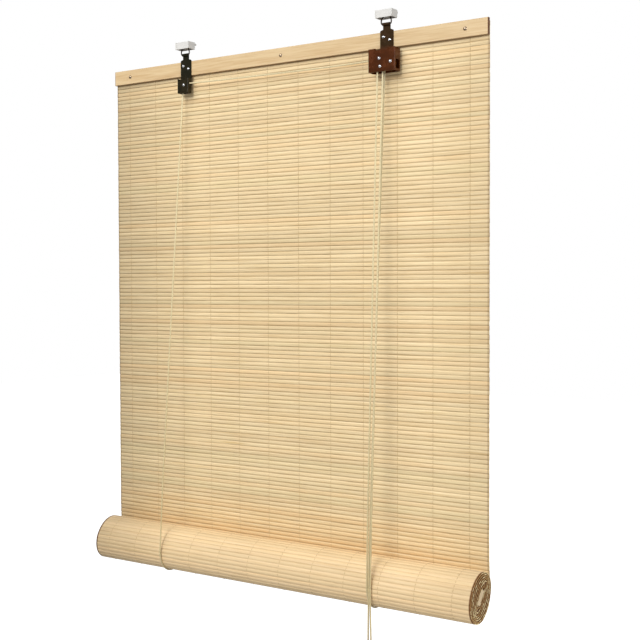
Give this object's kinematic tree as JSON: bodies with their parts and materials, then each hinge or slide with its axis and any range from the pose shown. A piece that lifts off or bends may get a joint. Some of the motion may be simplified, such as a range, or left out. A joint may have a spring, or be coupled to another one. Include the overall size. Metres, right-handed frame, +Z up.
{
  "type": "roll up blind",
  "caption": "Roll-up blind of split bamboo slats under a lath head rail, hung on rings from ceiling clips, with lift cords, a cord lock and a hank of pull cord.",
  "frame": {"origin": "in the ceiling plane, midway between the screw holes of the two ceiling clips", "axes": "+X along the head rail to the right as seen from the room, +Y away from the room towards the window, +Z up"},
  "size_m": [0.6, 0.0755, 0.8668],
  "materials": {
    "bamboo_slats": "split bamboo, pale tan with darker seams, matte",
    "bamboo_roll": "split bamboo, pale tan with darker seams, matte",
    "lath": "planed bamboo lath, satin",
    "dark_lacquer": "dark brown lacquer, glossy",
    "bright_screws": "polished domes",
    "ring_steel": "dark brown lacquer",
    "white_plastic": "white, smooth",
    "pulley_plastic": "dark nylon",
    "cord": "braided cream cord",
    "staple_steel": "plain steel wire"
  },
  "bodies": {
    "ceiling": {"ceiling_clip_left": "white_plastic", "ceiling_clip_right": "white_plastic"},
    "rings": {"ring_left": "ring_steel", "ring_right": "ring_steel"},
    "rail": {"head_batten_front": "lath", "head_batten_rear": "lath", "rail_screws": "bright_screws", "strap_screws": "bright_screws", "bracket_left": "dark_lacquer", "bracket_right": "dark_lacquer", "axle_pin_left": "bright_screws", "axle_pin_right": "bright_screws", "lock_pin": "bright_screws", "pawl_pin": "bright_screws", "clamped_slats": "bamboo_slats", "hanging_slats": "bamboo_slats", "anchor_staples": "staple_steel", "knot_left": "cord", "knot_right": "cord", "lift_cord_left": "cord", "lift_cord_right": "cord", "back_cord_left": "cord", "back_cord_right": "cord", "cross_cord": "cord", "lock_cord": "cord", "pull_strand_front": "cord", "pull_strand_rear": "cord"},
    "pulley_left": {"pulley_left": "pulley_plastic"},
    "pulley_right": {"pulley_right": "pulley_plastic"},
    "pawl": {"lock_pawl": "dark_lacquer"},
    "roll_carriage": {"bight_left": "cord", "bight_right": "cord"},
    "roll": {"rolled_mat": "bamboo_roll", "bottom_batten": "lath"},
    "pull_loop": {"pull_end_front": "cord", "pull_end_rear": "cord", "pull_hank": "cord", "hank_tie": "cord"}
  },
  "joints": [
    {"name": "rings_swing", "type": "hinge", "parent": "ceiling", "child": "rings", "pos_m": [0, -0.009, -0.0062], "axis": [1, 0, 0], "range_deg": [-35, 35]},
    {"name": "rail_swing", "type": "hinge", "parent": "rings", "child": "rail", "pos_m": [0, -0.009, -0.0167], "axis": [1, 0, 0], "range_deg": [-35, 35]},
    {"name": "roll_lift", "type": "slide", "parent": "rail", "child": "roll_carriage", "axis": [0, 0, 1], "range_m": [0, 0.5372], "deforming": ["hanging_slats", "lift_cord_left", "lift_cord_right", "back_cord_left", "back_cord_right", "pull_strand_front", "pull_strand_rear"]},
    {"name": "roll_spin", "type": "hinge", "parent": "roll_carriage", "child": "roll", "pos_m": [0, -0.02977, -0.7058], "axis": [1, 0, 0], "range_deg": [-1081, 1]},
    {"name": "pull_drop", "type": "slide", "parent": "roll_carriage", "child": "pull_loop", "axis": [0, 0, 1], "range_m": [-1.612, 0], "deforming": ["pull_end_front", "pull_end_rear"]},
    {"name": "pulley_left_spin", "type": "hinge", "parent": "rail", "child": "pulley_left", "pos_m": [-0.1613, -0.0113, -0.0593], "axis": [0, 1, 0], "range_deg": [-5, 15400]},
    {"name": "pulley_right_spin", "type": "hinge", "parent": "rail", "child": "pulley_right", "pos_m": [0.1593, -0.0151, -0.06], "axis": [0, 1, 0], "range_deg": [-5, 17105]},
    {"name": "pawl_swing", "type": "hinge", "parent": "rail", "child": "pawl", "pos_m": [0.1754, -0.0146, -0.0653], "axis": [0, -1, 0], "range_deg": [0, 30]}
  ],
  "couplings": [
    {"joint": "roll_spin", "follows": "roll_lift", "rad_per_m": -35.088},
    {"joint": "pull_drop", "follows": "roll_lift", "ratio": -3},
    {"joint": "pulley_left_spin", "follows": "roll_lift", "rad_per_m": 500},
    {"joint": "pulley_right_spin", "follows": "roll_lift", "rad_per_m": 555.56}
  ]
}
